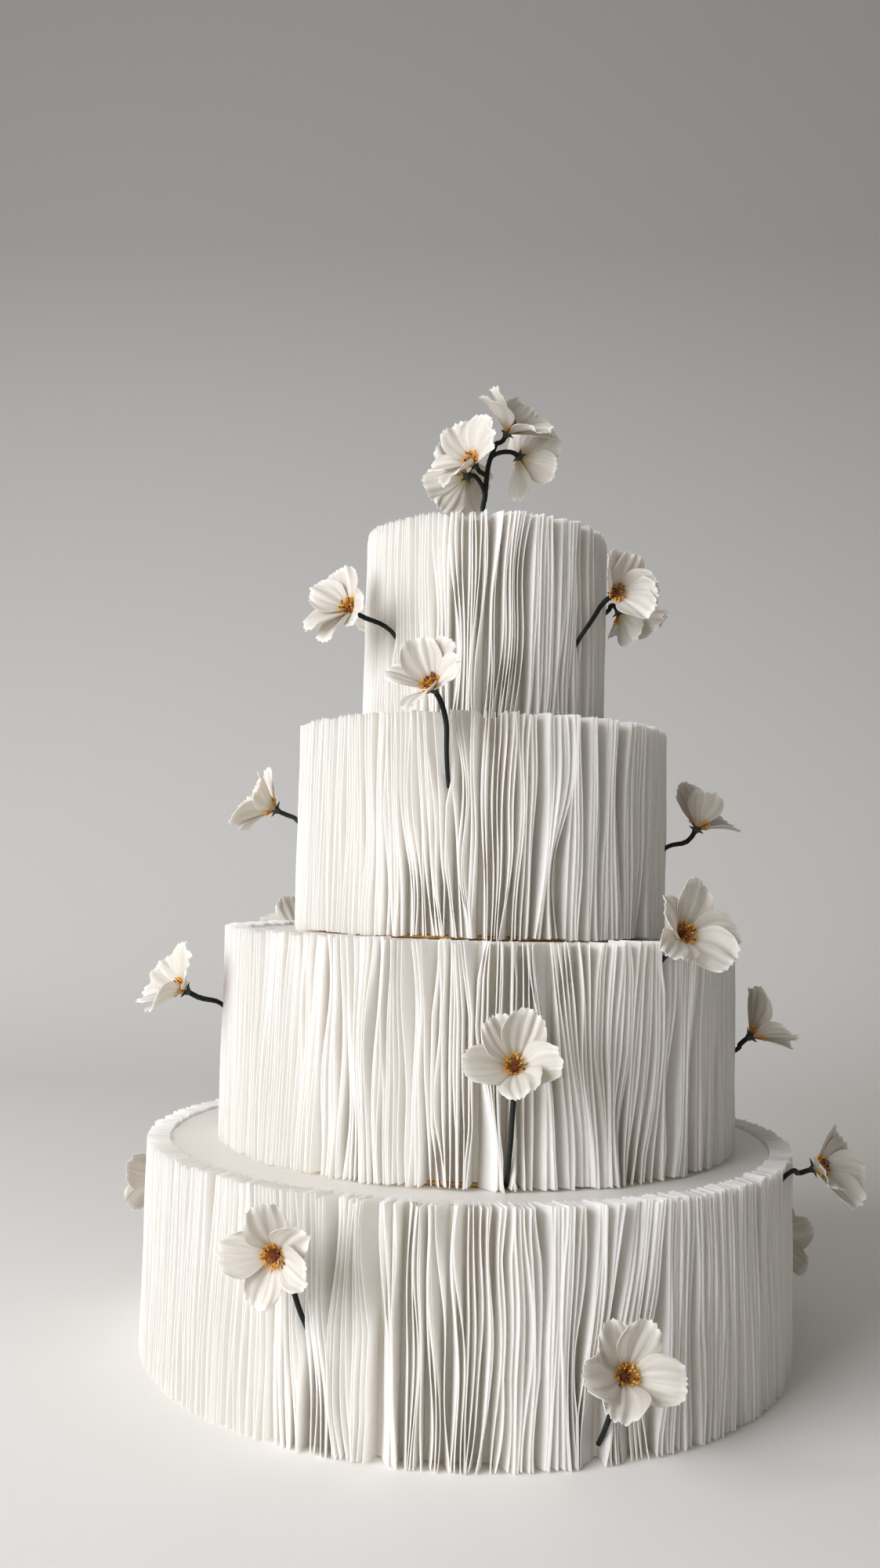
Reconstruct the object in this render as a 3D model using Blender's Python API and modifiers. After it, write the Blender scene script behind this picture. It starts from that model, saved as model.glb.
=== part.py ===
"""Tiered wedding cake: four round tiers in smooth ivory icing, each wrapped in a collar of upright
paper sheets, with loose paper flowers on dark wired stems. Metres, +Z up, the front towards -Y.
The origin is the middle of the bottom tier's underside."""

import math
import random
from collections import namedtuple

import bmesh
import bpy
from mathutils import Matrix, Vector

MM = 0.001

# Gap between pieces that touch.
GAP = 0.3 * MM

# The tiers, from the top (1) to the bottom (4).
TIERS = (1, 2, 3, 4)
CORE_RADIUS = {1: 62.2 * MM, 2: 100.1 * MM, 3: 141.5 * MM, 4: 177.8 * MM}
BOTTOM_HEIGHT = 117.0 * MM
TIER_RISE = 120.9 * MM
CARD_THICKNESS = 2.0 * MM
TIER_SHIFT = 4.0 * MM
ROUND_SIDES = 40
EDGE_BEVEL = 1.5 * MM

# The collars: sheets that stand out from the core, gathered here into pleats.
SHEET_DEPTH = 13.2 * MM
SHEET_PROUD = 3.0 * MM
VALLEY_DEPTH = 3.0 * MM
PLEATS = {1: 28, 2: 46, 3: 62, 4: 74}
PLEAT_LEAN = 0.55
TIP_SHARE = 0.3

# The flowers.
PETALS = 5
PETAL_LENGTH = 27.0 * MM
PETAL_WIDTH = 22.5 * MM
PETAL_THICKNESS = 0.8 * MM
PETAL_ROWS = (0.0, 0.55, 1.0)
PETAL_COLUMNS = (-1.0, 0.0, 1.0)
PETAL_CUP = 0.28
PETAL_FULL_AT = 0.75
PETAL_SWELL = 1.3
PETAL_BEND = math.radians(24.0)
PETAL_TWIST = math.radians(15.0)
CLAW_SHARE = 0.12
TIP_ROUNDING = 0.2
SIZE_VARIETY = 0.06
ANGLE_VARIETY = 4.0
CLAW_RADIUS = 1.9 * MM
CALYX_LENGTH = 3.4 * MM
HEART_SIDES = 5
HEART_PROFILE = ((0.0, 8.4), (4.6, 5.6), (2.2, -3.4), (0.0, -3.4))
STEM_RADIUS = 1.5 * MM
STEM_SINK = 5.0 * MM
STEM_POINTS = 3
NECK_LENGTH = 2.5 * MM
FOOT_LENGTH = 2.0 * MM
STEM_LEAD = 0.4
FOOT_LIFT = 55.0

# One row for each flower on the side of a tier. Angles are in degrees round the tier's axis, 0 at
# the front and positive to the right; heights are in mm over the tier's underside; out is how far
# the petals' root stands off the collar. The flower faces an angle and a lift above level. Each of
# its petals has a direction, clockwise from the top as seen from the front of the flower, and an
# opening from the flower's axis, in degrees; size scales them.


def even(opening, turn):
    """Petals spaced evenly, the first turned from the top."""
    return tuple((turn + 360.0 / PETALS * index, opening) for index in range(PETALS))


Flower = namedtuple("Flower", "name tier angle height out face lift petals size foot_angle foot_height")
SIDE_FLOWERS = (
    Flower("e", 1, 59.1, 81.7, 13, 22, 6,
           ((-32, 46), (12, 42), (80, 36), (112, 42), (144, 44)), 1.0, 47, 48),
    Flower("f", 1, 82.5, 77.5, 8, 126, -42,
           ((-84, 54), (-132, 66), (-36, 50), (18, 46), (72, 46)), 1.0, 81, 74),
    Flower("g", 1, -57.7, 68.8, 18, -38, 18,
           ((-64, 54), (-28, 72), (-136, 50), (-168, 68), (116, 58)), 1.04, -47, 51),
    Flower("h", 2, -12.5, 133, 14, -33, 38,
           ((-26, 44), (18, 56), (92, 56), (172, 60), (-96, 52)), 0.95, -10, 86),
    Flower("i", 2, -94, 74, 17, -80, 24,
           ((-32, 54), (64, 50), (-92, 46), (160, 42), (-128, 66)), 1.0, -88, 61),
    Flower("j", 2, 87.9, 67.3, 19, 118, 54,
           ((80, 50), (-48, 58), (164, 42), (-164, 58), (20, 52)), 1.0, 78, 49),
    Flower("k", 3, -131, 114, 12, -150, 15, even(62, 20), 1.0, -133, 96),
    Flower("l", 3, 37.7, 127.5, 13, 24, 18,
           ((16, 62), (98, 64), (134, 62), (-128, 50), (-56, 50)), 1.02, 39, 112),
    Flower("m", 3, -70.6, 87, 23, -60, 30,
           ((20, 48), (-72, 60), (-124, 54), (152, 54), (56, 60)), 1.0, -75, 72),
    Flower("n", 3, 81.9, 65.6, 9, 97, 36,
           ((-4, 50), (24, 44), (70, 44), (-112, 46), (166, 48)), 1.0, 82, 53),
    Flower("o", 3, 6, 63.5, 18, 0, 24, ((-32, 64), (12, 64), (90, 48), (172, 42), (-96, 60)), 0.97, 6, 6),
    Flower("p", 4, -107, 70, 17, -116, 12, even(60, 0), 1.0, -108, 58),
    Flower("q", 4, 76.5, 111.8, 12, 54, 24,
           ((58, 60), (82, 60), (120, 60), (-176, 56), (-112, 56)), 1.04, 65, 109),
    Flower("r", 4, 105, 46, 11, 131, -12, even(56, 15), 1.0, 104, 53),
    Flower("s", 4, -25, 95, 17, -6, 3,
           ((-16, 68), (50, 56), (112, 48), (-160, 74), (-90, 72)), 0.9, -24, 58),
    Flower("t", 4, 20.6, 47.5, 17, 7, 21,
           ((-20, 64), (28, 66), (98, 60), (-154, 42), (-90, 50)), 0.96, 20.5, 12),
    Flower("u", 1, -136, 84, 11, -160, 12, even(64, 10), 0.97, -137, 70),
    Flower("v", 4, 165, 78, 15, 168, 15, even(62, 25), 1.0, 164, 52),
    Flower("w", 2, 150, 60, 15, 154, 18, even(60, 35), 1.0, 148, 38),
)

# The flowers over the top tier, and their branched stem. Places are in mm from the middle of the
# top tier's upper face; the stem's routes lie in one upright plane in front of that middle.
TopFlower = namedtuple("TopFlower", "name place face lift petals size joint")
TOP_PLANE = -30.0
TOP_STEM = ((-2.0, 0.6), (-3.0, 16.0), (-2.0, 22.0), (-1.2, 34.0), (0.0, 43.5), (3.0, 53.0))
TOP_FLOWERS = (
    TopFlower("a", (-9.0, -39.0, 40.5), -36, 30,
              ((-34, 46), (22, 54), (85, 56), (-172, 60), (-112, 64)), 1.0, 3),
    TopFlower("b", (11.0, -32.0, 62.5), 48, 50,
              ((-36, 48), (58, 44), (120, 64), (180, 62), (-84, 66)), 1.03, 5),
    TopFlower("c", (19.0, -21.0, 51.0), 146, -5,
              ((18, 60), (166, 72), (-115, 72), (-66, 70), (-22, 64)), 0.97, 4),
    TopFlower("d", (-13.5, -24.0, 37.0), -150, 5,
              ((30, 64), (112, 68), (152, 72), (-142, 62), (-80, 64)), 0.97, 2),
)

# Materials: colour (linear), roughness, metallic.
MATERIALS = {
    "icing": ((0.74, 0.71, 0.61), 0.55, 0.0),
    "paper": ((0.87, 0.86, 0.82), 0.6, 0.0),
    "gold_card": ((0.52, 0.29, 0.10), 0.35, 0.6),
    "petal": ((0.82, 0.77, 0.68), 0.6, 0.0),
    "stem": ((0.012, 0.02, 0.016), 0.5, 0.0),
}

for old in list(bpy.data.objects):
    bpy.data.objects.remove(old, do_unlink=True)

cake = bpy.data.collections.new("tiered_wedding_cake")
cutters = bpy.data.collections.new("cutters")
bpy.context.scene.collection.children.link(cake)
bpy.context.scene.collection.children.link(cutters)


def material(name):
    """The named material, made once."""
    found = bpy.data.materials.get(name)
    if found:
        return found
    colour, roughness, metallic = MATERIALS[name]
    made = bpy.data.materials.new(name)
    made.use_nodes = True
    shader = made.node_tree.nodes["Principled BSDF"]
    shader.inputs["Base Color"].default_value = (*colour, 1.0)
    shader.inputs["Roughness"].default_value = roughness
    shader.inputs["Metallic"].default_value = metallic
    return made


def add_object(name, mesh, group, material_name=None):
    """Links a mesh into a collection as an object."""
    made = bpy.data.objects.new(name, mesh)
    group.objects.link(made)
    if material_name:
        mesh.materials.clear()
        mesh.materials.append(material(material_name))
    if group is cutters:
        made.hide_render = True
        made.display_type = "WIRE"
    return made


def mesh_from(bm, name):
    """Turns a bmesh into mesh data and frees it."""
    mesh = bpy.data.meshes.new(name)
    bm.to_mesh(mesh)
    bm.free()
    return mesh


def finished_mesh(made):
    """Applies an object's modifiers by reading its evaluated mesh."""
    bpy.context.view_layer.update()
    evaluated = made.evaluated_get(bpy.context.evaluated_depsgraph_get())
    return bpy.data.meshes.new_from_object(evaluated)


def bake(made):
    """Replaces an object's mesh by its evaluated mesh, without modifiers."""
    mesh = finished_mesh(made)
    made.modifiers.clear()
    made.data = mesh


def keep_outer_skin(mesh):
    """Fills sealed hollows and drops loose scraps: only the largest connected skin stays."""
    bm = bmesh.new()
    bm.from_mesh(mesh)
    waiting = set(bm.verts)
    skins = []
    while waiting:
        skin = {waiting.pop()}
        edge_of_skin = list(skin)
        while edge_of_skin:
            vert = edge_of_skin.pop()
            for edge in vert.link_edges:
                other = edge.other_vert(vert)
                if other in waiting:
                    waiting.discard(other)
                    skin.add(other)
                    edge_of_skin.append(other)
        skins.append(skin)
    largest = max(skins, key=len)
    inner = [vert for skin in skins if skin is not largest for vert in skin]
    bmesh.ops.delete(bm, geom=inner, context="VERTS")
    bm.to_mesh(mesh)
    bm.free()


def boolean(made, operation, group):
    """Joins or cuts an object with every object of a collection, then removes those."""
    change = made.modifiers.new(operation.lower(), "BOOLEAN")
    change.operation = operation
    change.operand_type = "COLLECTION"
    change.collection = group
    change.solver = "MANIFOLD"
    bake(made)
    keep_outer_skin(made.data)
    for used in list(group.objects):
        bpy.data.objects.remove(used, do_unlink=True)


def ledge(tier):
    """Height of the surface that a tier stands on."""
    return 0.0 if tier == 4 else core_top(tier + 1)


def core_top(tier):
    """Height of the icing on top of a tier."""
    return BOTTOM_HEIGHT + (4 - tier) * TIER_RISE


def axis_x(tier):
    """The bottom tier's axis is the origin, and the others stand a little to the right."""
    return 0.0 if tier == 4 else TIER_SHIFT


def disc(name, tier, bottom, top, material_name, bevel=0.0):
    """A flat round slab on a tier's axis, with a softened upper edge if asked."""
    bm = bmesh.new()
    bmesh.ops.create_cone(bm, cap_ends=True, segments=ROUND_SIDES, radius1=CORE_RADIUS[tier],
                          radius2=CORE_RADIUS[tier], depth=top - bottom)
    if bevel:
        rim = [e for e in bm.edges if all(v.co.z > 0.0 for v in e.verts)]
        bmesh.ops.bevel(bm, geom=rim, offset=bevel, segments=1, affect="EDGES")
    bmesh.ops.translate(bm, verts=bm.verts, vec=(axis_x(tier), 0.0, (top + bottom) / 2))
    made = add_object(name, mesh_from(bm, name), cake, material_name)
    made.data.shade_smooth()
    made.data.set_sharp_from_angle(angle=math.radians(30.0))


def collar(tier):
    """The ring of paper sheets round a tier, as pleats that lean this way and that."""
    draw = random.Random(tier)
    count = PLEATS[tier]
    outer = CORE_RADIUS[tier] + SHEET_DEPTH
    valley = CORE_RADIUS[tier] + VALLEY_DEPTH
    bottom = ledge(tier) + (0.0 if tier == 4 else GAP)
    top = core_top(tier) + SHEET_PROUD
    step = math.tau / count
    leans = [draw.uniform(-PLEAT_LEAN, PLEAT_LEAN) * step for _ in range(count)]
    bm = bmesh.new()
    bmesh.ops.create_cone(bm, cap_ends=True, segments=3 * count, radius1=1.0, radius2=1.0,
                          depth=top - bottom)
    for vert in bm.verts:
        corner = round(math.atan2(vert.co.y, vert.co.x) / math.tau * 3 * count) % (3 * count)
        pleat, part = divmod(corner, 3)
        side = 1.0 if vert.co.z > 0.0 else -1.0
        if part == 2:
            radius = valley
            turn = (pleat + 0.5) * step
            turn += side * (leans[pleat] + leans[(pleat + 1) % count]) / 4
        else:
            radius = outer
            turn = (pleat + (part - 0.5) * TIP_SHARE) * step + side * leans[pleat] / 2
        vert.co.x = radius * math.cos(turn)
        vert.co.y = radius * math.sin(turn)
    bmesh.ops.triangulate(bm, faces=[face for face in bm.faces if len(face.verts) == 4])
    bmesh.ops.translate(bm, verts=bm.verts, vec=(axis_x(tier), 0.0, (top + bottom) / 2))
    made = add_object(f"tier_{tier}_strips", mesh_from(bm, f"tier_{tier}_strips"), cake, "paper")
    bm = bmesh.new()
    hole = CORE_RADIUS[tier] + GAP
    bmesh.ops.create_cone(bm, cap_ends=True, segments=ROUND_SIDES, radius1=hole, radius2=hole,
                          depth=(top - bottom) * 1.2)
    bmesh.ops.translate(bm, verts=bm.verts, vec=(axis_x(tier), 0.0, (top + bottom) / 2))
    add_object(f"hole_{tier}", mesh_from(bm, f"hole_{tier}"), cutters)
    return made


def tube(name, points, radius, group, material_name=None):
    """A wire along a route, as a closed mesh with welded ends."""
    curve = bpy.data.curves.new(name, "CURVE")
    curve.dimensions = "3D"
    curve.bevel_depth = radius
    curve.bevel_resolution = 1
    curve.use_fill_caps = True
    spline = curve.splines.new("POLY")
    spline.points.add(len(points) - 1)
    for place, point in zip(spline.points, points):
        place.co = (*point, 1.0)
    wire = bpy.data.objects.new(name + "_wire", curve)
    cake.objects.link(wire)
    mesh = finished_mesh(wire)
    bpy.data.objects.remove(wire, do_unlink=True)
    bm = bmesh.new()
    bm.from_mesh(mesh)
    bmesh.ops.remove_doubles(bm, verts=bm.verts, dist=0.00001)
    bm.to_mesh(mesh)
    bm.free()
    made = add_object(name, mesh, group, material_name)
    made.data.shade_smooth()
    made.data.set_sharp_from_angle(angle=math.radians(65.0))
    return made


def route(start, lead, root, axis):
    """Points on a smooth curve that leaves a place along a lead and meets a calyx squarely."""
    foot = start + lead * FOOT_LENGTH
    end = root - axis * (CALYX_LENGTH + GAP)
    neck = end - axis * NECK_LENGTH
    pull = (neck - foot).length * STEM_LEAD
    points = [start]
    for index in range(STEM_POINTS):
        t = index / (STEM_POINTS - 1)
        s = 1.0 - t
        points.append(foot * s ** 3 + (foot + lead * pull) * 3 * s * s * t
                      + (neck - axis * pull) * 3 * s * t * t + neck * t ** 3)
    return points + [end]


def around(tier, degrees, radius, height):
    """A point at an angle round a tier's axis, at a height over its underside."""
    angle = math.radians(degrees)
    return Vector((axis_x(tier) + radius * math.sin(angle), -radius * math.cos(angle),
                   ledge(tier) + height))


def facing(degrees, lift):
    """The direction of an angle round the cake, lifted above level."""
    angle = math.radians(degrees)
    rise = math.radians(lift)
    return Vector((math.sin(angle) * math.cos(rise), -math.cos(angle) * math.cos(rise), math.sin(rise)))


def petal(bm, root, axis, spread, length, width, opening):
    """One thin petal as a small grid: a narrow claw that widens into a rounded, cupped fan."""
    side = axis.cross(spread)
    first_angle = opening - PETAL_BEND / 2
    bend = PETAL_BEND / length
    grid = []
    for row in PETAL_ROWS:
        swell = math.sin(min(1.0, row / PETAL_FULL_AT) * math.pi / 2) ** PETAL_SWELL
        half_width = width / 2 * (CLAW_SHARE + (1.0 - CLAW_SHARE) * swell)
        for column in PETAL_COLUMNS:
            along = row * length * (1.0 - TIP_ROUNDING * column ** 2)
            angle = first_angle + bend * along
            rise = (math.sin(angle) - math.sin(first_angle)) / bend
            reach = (math.cos(first_angle) - math.cos(angle)) / bend
            inward = axis * math.sin(angle) - spread * math.cos(angle)
            across = side * math.cos(PETAL_TWIST) + inward * math.sin(PETAL_TWIST)
            place = root + axis * rise + spread * (reach + CLAW_RADIUS)
            place += across * column * half_width + inward * PETAL_CUP * half_width * column ** 2
            grid.append(bm.verts.new(place))
    columns = len(PETAL_COLUMNS)
    for row in range(len(PETAL_ROWS) - 1):
        for column in range(columns - 1):
            first = row * columns + column
            bm.faces.new((grid[first], grid[first + 1], grid[first + columns + 1],
                          grid[first + columns]))


def bloom(flower, root, axis):
    """Five separate petals joined to a turned heart of calyx and stamens."""
    name = flower.name
    draw = random.Random(f"bloom_{name}")
    up = Vector((0.0, 0.0, 1.0))
    up = (up - axis * up.dot(axis)).normalized()
    right = up.cross(axis)
    for turn, opening in flower.petals:
        angle = math.radians(turn + draw.uniform(-ANGLE_VARIETY, ANGLE_VARIETY))
        spread = up * math.cos(angle) + right * math.sin(angle)
        size = flower.size * draw.uniform(1.0 - SIZE_VARIETY, 1.0 + SIZE_VARIETY)
        open_by = math.radians(opening + draw.uniform(-ANGLE_VARIETY, ANGLE_VARIETY))
        bm = bmesh.new()
        petal(bm, root, axis, spread, PETAL_LENGTH * size, PETAL_WIDTH * size, open_by)
        bmesh.ops.recalc_face_normals(bm, faces=bm.faces)
        bmesh.ops.triangulate(bm, faces=bm.faces)
        leaf = add_object(f"petal_{name}", mesh_from(bm, f"petal_{name}"), cutters)
        shell = leaf.modifiers.new("thickness", "SOLIDIFY")
        shell.thickness = PETAL_THICKNESS
        shell.offset = 0.0
        bake(leaf)
    bm = bmesh.new()
    previous = None
    for radius, height in HEART_PROFILE:
        vert = bm.verts.new((radius * MM, 0.0, height * MM))
        if previous:
            bm.edges.new((previous, vert))
        previous = vert
    made = add_object(f"bloom_{name}", mesh_from(bm, f"bloom_{name}"), cake, "petal")
    turned = made.modifiers.new("turned", "SCREW")
    turned.steps = HEART_SIDES
    turned.render_steps = HEART_SIDES
    turned.use_merge_vertices = True
    turned.merge_threshold = 0.00001
    bake(made)
    made.data.transform(Matrix.Translation(root) @ axis.to_track_quat("Z", "Y").to_matrix().to_4x4())
    boolean(made, "UNION", cutters)
    made.data.materials.clear()
    made.data.materials.append(material("petal"))


def side_flower(flower):
    """A flower on the side of a tier; its stem leaves the collar outwards and upwards.
    Returns the stem's route."""
    outer = CORE_RADIUS[flower.tier] + SHEET_DEPTH
    root = around(flower.tier, flower.angle, outer + flower.out * MM, flower.height * MM)
    axis = facing(flower.face, flower.lift)
    start = around(flower.tier, flower.foot_angle, outer - STEM_SINK, flower.foot_height * MM)
    points = route(start, facing(flower.foot_angle, FOOT_LIFT), root, axis)
    bloom(flower, root, axis)
    tube(f"stem_{flower.name}", points, STEM_RADIUS, cake, "stem")
    return points


def top_flowers():
    """The flowers over the top tier, on one stem with three side branches."""
    middle = Vector((axis_x(1), 0.0, core_top(1)))
    main = [middle + Vector((x, TOP_PLANE, z)) * MM for x, z in TOP_STEM]
    ends = {}
    for flower in TOP_FLOWERS:
        root = middle + Vector(flower.place) * MM
        axis = facing(flower.face, flower.lift)
        bloom(flower, root, axis)
        ends[flower] = (root, axis)
    tip = []
    for flower, (root, axis) in ends.items():
        start = main[flower.joint]
        if flower.joint == len(main) - 1:
            tip = route(start, (start - main[-2]).normalized(), root, axis)[1:]
        else:
            points = route(start, Vector((0.0, 0.0, 1.0)), root, axis)
            tube(f"branch_{flower.name}", points, STEM_RADIUS, cutters)
    made = tube("stem_top", main + tip, STEM_RADIUS, cake, "stem")
    boolean(made, "UNION", cutters)


for tier in TIERS:
    base = ledge(tier)
    if tier < 4:
        disc(f"tier_{tier}_card", tier, base + GAP, base + GAP + CARD_THICKNESS, "gold_card")
        base += CARD_THICKNESS + 2 * GAP
    disc(f"tier_{tier}_cake", tier, base, core_top(tier), "icing", bevel=EDGE_BEVEL)

top_flowers()
stem_routes = {flower: side_flower(flower) for flower in SIDE_FLOWERS}

for tier in TIERS:
    ring = collar(tier)
    for flower, points in stem_routes.items():
        if flower.tier == tier:
            deeper = points[0] - facing(flower.foot_angle, FOOT_LIFT) * 2 * GAP
            tube(f"bore_{flower.name}", [deeper] + points[1:], STEM_RADIUS + 2 * GAP, cutters)
    boolean(ring, "DIFFERENCE", cutters)
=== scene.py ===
import math
import random

import bpy
import numpy as np
from mathutils import Matrix, Vector


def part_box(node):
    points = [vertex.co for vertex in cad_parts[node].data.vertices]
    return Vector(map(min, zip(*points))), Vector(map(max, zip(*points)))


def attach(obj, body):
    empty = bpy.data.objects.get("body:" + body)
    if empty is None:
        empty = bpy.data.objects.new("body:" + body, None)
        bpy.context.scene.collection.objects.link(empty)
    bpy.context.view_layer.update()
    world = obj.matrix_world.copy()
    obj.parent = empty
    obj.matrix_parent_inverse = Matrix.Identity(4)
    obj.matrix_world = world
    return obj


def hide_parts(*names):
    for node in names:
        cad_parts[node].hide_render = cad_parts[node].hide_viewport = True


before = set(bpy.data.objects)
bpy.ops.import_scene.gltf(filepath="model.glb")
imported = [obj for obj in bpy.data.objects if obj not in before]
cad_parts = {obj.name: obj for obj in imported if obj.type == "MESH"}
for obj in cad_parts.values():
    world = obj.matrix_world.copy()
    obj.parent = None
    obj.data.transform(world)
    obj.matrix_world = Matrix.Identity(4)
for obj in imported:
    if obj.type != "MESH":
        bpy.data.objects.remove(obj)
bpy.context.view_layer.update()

# The view: a normal lens a little over half way up the cake, tilted slightly up, with the horizon
# a little off level. Its place is in metres, its focal length in pixels of the 1123 x 2000 frame.
CAMERA_SPOT = (0.0, -0.8017, 0.2687)
FOCAL_PIXELS = 1651.8
FRAME_HEIGHT = 2000
SENSOR = 36.0
PITCH = math.radians(4.328)
ROLL = math.radians(1.329)
YAW = math.radians(-1.576)

level_ahead = Vector((math.sin(YAW), math.cos(YAW), 0.0))
level_right = Vector((math.cos(YAW), -math.sin(YAW), 0.0))
straight_up = Vector((0.0, 0.0, 1.0))
ahead = level_ahead * math.cos(PITCH) + straight_up * math.sin(PITCH)
above = straight_up * math.cos(PITCH) - level_ahead * math.sin(PITCH)
camera_right = level_right * math.cos(ROLL) + above * math.sin(ROLL)
camera_up = above * math.cos(ROLL) - level_right * math.sin(ROLL)
camera_data = bpy.data.cameras.new("camera")
camera_data.sensor_width = SENSOR
camera_data.lens = FOCAL_PIXELS / FRAME_HEIGHT * SENSOR
camera = bpy.data.objects.new("camera", camera_data)
camera_turn = Matrix((camera_right, camera_up, -ahead)).transposed().to_4x4()
camera.matrix_world = Matrix.Translation(CAMERA_SPOT) @ camera_turn
bpy.context.scene.collection.objects.link(camera)
bpy.context.scene.camera = camera
bpy.context.scene.view_settings.view_transform = "Standard"


# The studio: a pale paper sweep that bends up behind the cake, one big soft light from the left
# like a window, and a weak fill from everywhere, stronger and warmer on the window's side.
MM = 0.001
SWEEP_FRONT = -4.0
SWEEP_WALL = 2.4
SWEEP_TOP = 4.5
SWEEP_BEND = 1.5
SWEEP_STEPS = 12
SWEEP_HALF_WIDTH = 5.0
SWEEP_GAP = 0.4 * MM
# Painted shade on the sweep: the heights in metres where its darkening upward starts and ends.
SWEEP_PAINTED_SHADE_HEIGHTS = (0.1, 1.9)
WINDOW_SPOT = Vector((-1.78, -1.55, 0.85))
WINDOW_AIM = Vector((0.0, 0.0, 0.3))
WINDOW_SIZE = 1.9
WINDOW_POWER = 97.0
AIR_LEFT = 0.48
AIR_RIGHT = 0.18


def linear(code):
    """An sRGB hex colour as linear RGBA."""
    channels = [int(code[i:i + 2], 16) / 255 for i in (1, 3, 5)]
    return tuple(c / 12.92 if c <= 0.04045 else ((c + 0.055) / 1.055) ** 2.4 for c in channels) + (1.0,)


def add_node(tree, kind, **settings):
    """Adds a node. A setting is a property, or an input by name or number (in0, in1); a pair of a
    node and an output's name is a link."""
    made = tree.nodes.new(kind)
    for key, value in settings.items():
        if key.startswith("in") and key[2:].isdigit():
            socket = made.inputs[int(key[2:])]
        elif hasattr(made, key):
            setattr(made, key, value)
            continue
        else:
            socket = made.inputs[key.replace("_", " ")]
        if isinstance(value, tuple) and isinstance(value[0], bpy.types.Node):
            tree.links.new(value[0].outputs[value[1]], socket)
        else:
            socket.default_value = value
    return made


def new_material(name):
    """An empty material with its output node."""
    made = bpy.data.materials.new(name)
    made.use_nodes = True
    made.node_tree.nodes.clear()
    return made, made.node_tree, made.node_tree.nodes.new("ShaderNodeOutputMaterial")


def mesh_piece(name, points, faces, sharp=35.0):
    """A smooth mesh object from points in metres, with its sharper edges left sharp."""
    mesh = bpy.data.meshes.new(name)
    mesh.from_pydata([tuple(p) for p in points], [], [tuple(int(v) for v in f) for f in faces])
    mesh.update()
    mesh.shade_smooth()
    mesh.set_sharp_from_angle(angle=math.radians(sharp))
    made = bpy.data.objects.new(name, mesh)
    bpy.context.scene.collection.objects.link(made)
    return made


profile = [(SWEEP_FRONT, 0.0), (SWEEP_WALL - SWEEP_BEND, 0.0)]
for step in range(1, SWEEP_STEPS + 1):
    angle = math.pi / 2 * step / SWEEP_STEPS
    profile.append((SWEEP_WALL - SWEEP_BEND + SWEEP_BEND * math.sin(angle),
                    SWEEP_BEND - SWEEP_BEND * math.cos(angle)))
profile.append((SWEEP_WALL, SWEEP_TOP))
sweep_points = [(side * SWEEP_HALF_WIDTH, y, z - SWEEP_GAP) for y, z in profile for side in (-1, 1)]
sweep_faces = [(2 * i, 2 * i + 1, 2 * i + 3, 2 * i + 2) for i in range(len(profile) - 1)]
sweep = mesh_piece("studio_sweep", sweep_points, sweep_faces)

# Matt background paper: a pale tone without gloss, with painted shade that greys it as it climbs, where the
# window light falls off higher up the wall.
sweep_paper, tree, out = new_material("matt_background_paper")
sweep_place = add_node(tree, "ShaderNodeTexCoord")
sweep_split = add_node(tree, "ShaderNodeSeparateXYZ", in0=(sweep_place, "Object"))
sweep_painted_shade = add_node(tree, "ShaderNodeMapRange", Value=(sweep_split, "Z"),
                      From_Min=SWEEP_PAINTED_SHADE_HEIGHTS[0], From_Max=SWEEP_PAINTED_SHADE_HEIGHTS[1])
sweep_shaded_tone = add_node(tree, "ShaderNodeMix", data_type="RGBA", in0=(sweep_painted_shade, "Result"),
                      in6=linear("#EDE9E3"), in7=linear("#AFACA8"))
sweep_shader = add_node(tree, "ShaderNodeBsdfPrincipled", Base_Color=(sweep_shaded_tone, 2), Roughness=0.9)
tree.links.new(sweep_shader.outputs[0], out.inputs[0])
sweep.data.materials.append(sweep_paper)


lamp = bpy.data.lights.new("window_light", "AREA")
lamp.shape = "SQUARE"
lamp.size = WINDOW_SIZE
lamp.energy = WINDOW_POWER
lamp.color = linear("#F1F6FF")[:3]
window = bpy.data.objects.new("window_light", lamp)
window.location = WINDOW_SPOT
window.rotation_euler = (WINDOW_AIM - WINDOW_SPOT).to_track_quat("-Z", "Y").to_euler()
bpy.context.scene.collection.objects.link(window)

world = bpy.data.worlds.new("studio_air")
world.use_nodes = True
tree = world.node_tree
air = tree.nodes["Background"]
air_place = add_node(tree, "ShaderNodeTexCoord")
air_split = add_node(tree, "ShaderNodeSeparateXYZ", in0=(air_place, "Generated"))
air_level = add_node(tree, "ShaderNodeMapRange", Value=(air_split, "X"), From_Min=-1.0,
                     To_Min=AIR_LEFT, To_Max=AIR_RIGHT)
air_tone = add_node(tree, "ShaderNodeMapRange", Value=(air_split, "X"), From_Min=-0.3)
air_colour = add_node(tree, "ShaderNodeMix", data_type="RGBA", in0=(air_tone, "Result"),
                      in6=linear("#FFFAF2"), in7=linear("#EDF3FF"))
tree.links.new(air_colour.outputs[2], air.inputs[0])
tree.links.new(air_level.outputs[0], air.inputs[1])
bpy.context.scene.world = world
bpy.context.scene.cycles.max_bounces = 20
bpy.context.scene.cycles.diffuse_bounces = 16
bpy.context.scene.cycles.transmission_bounces = 16

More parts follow.
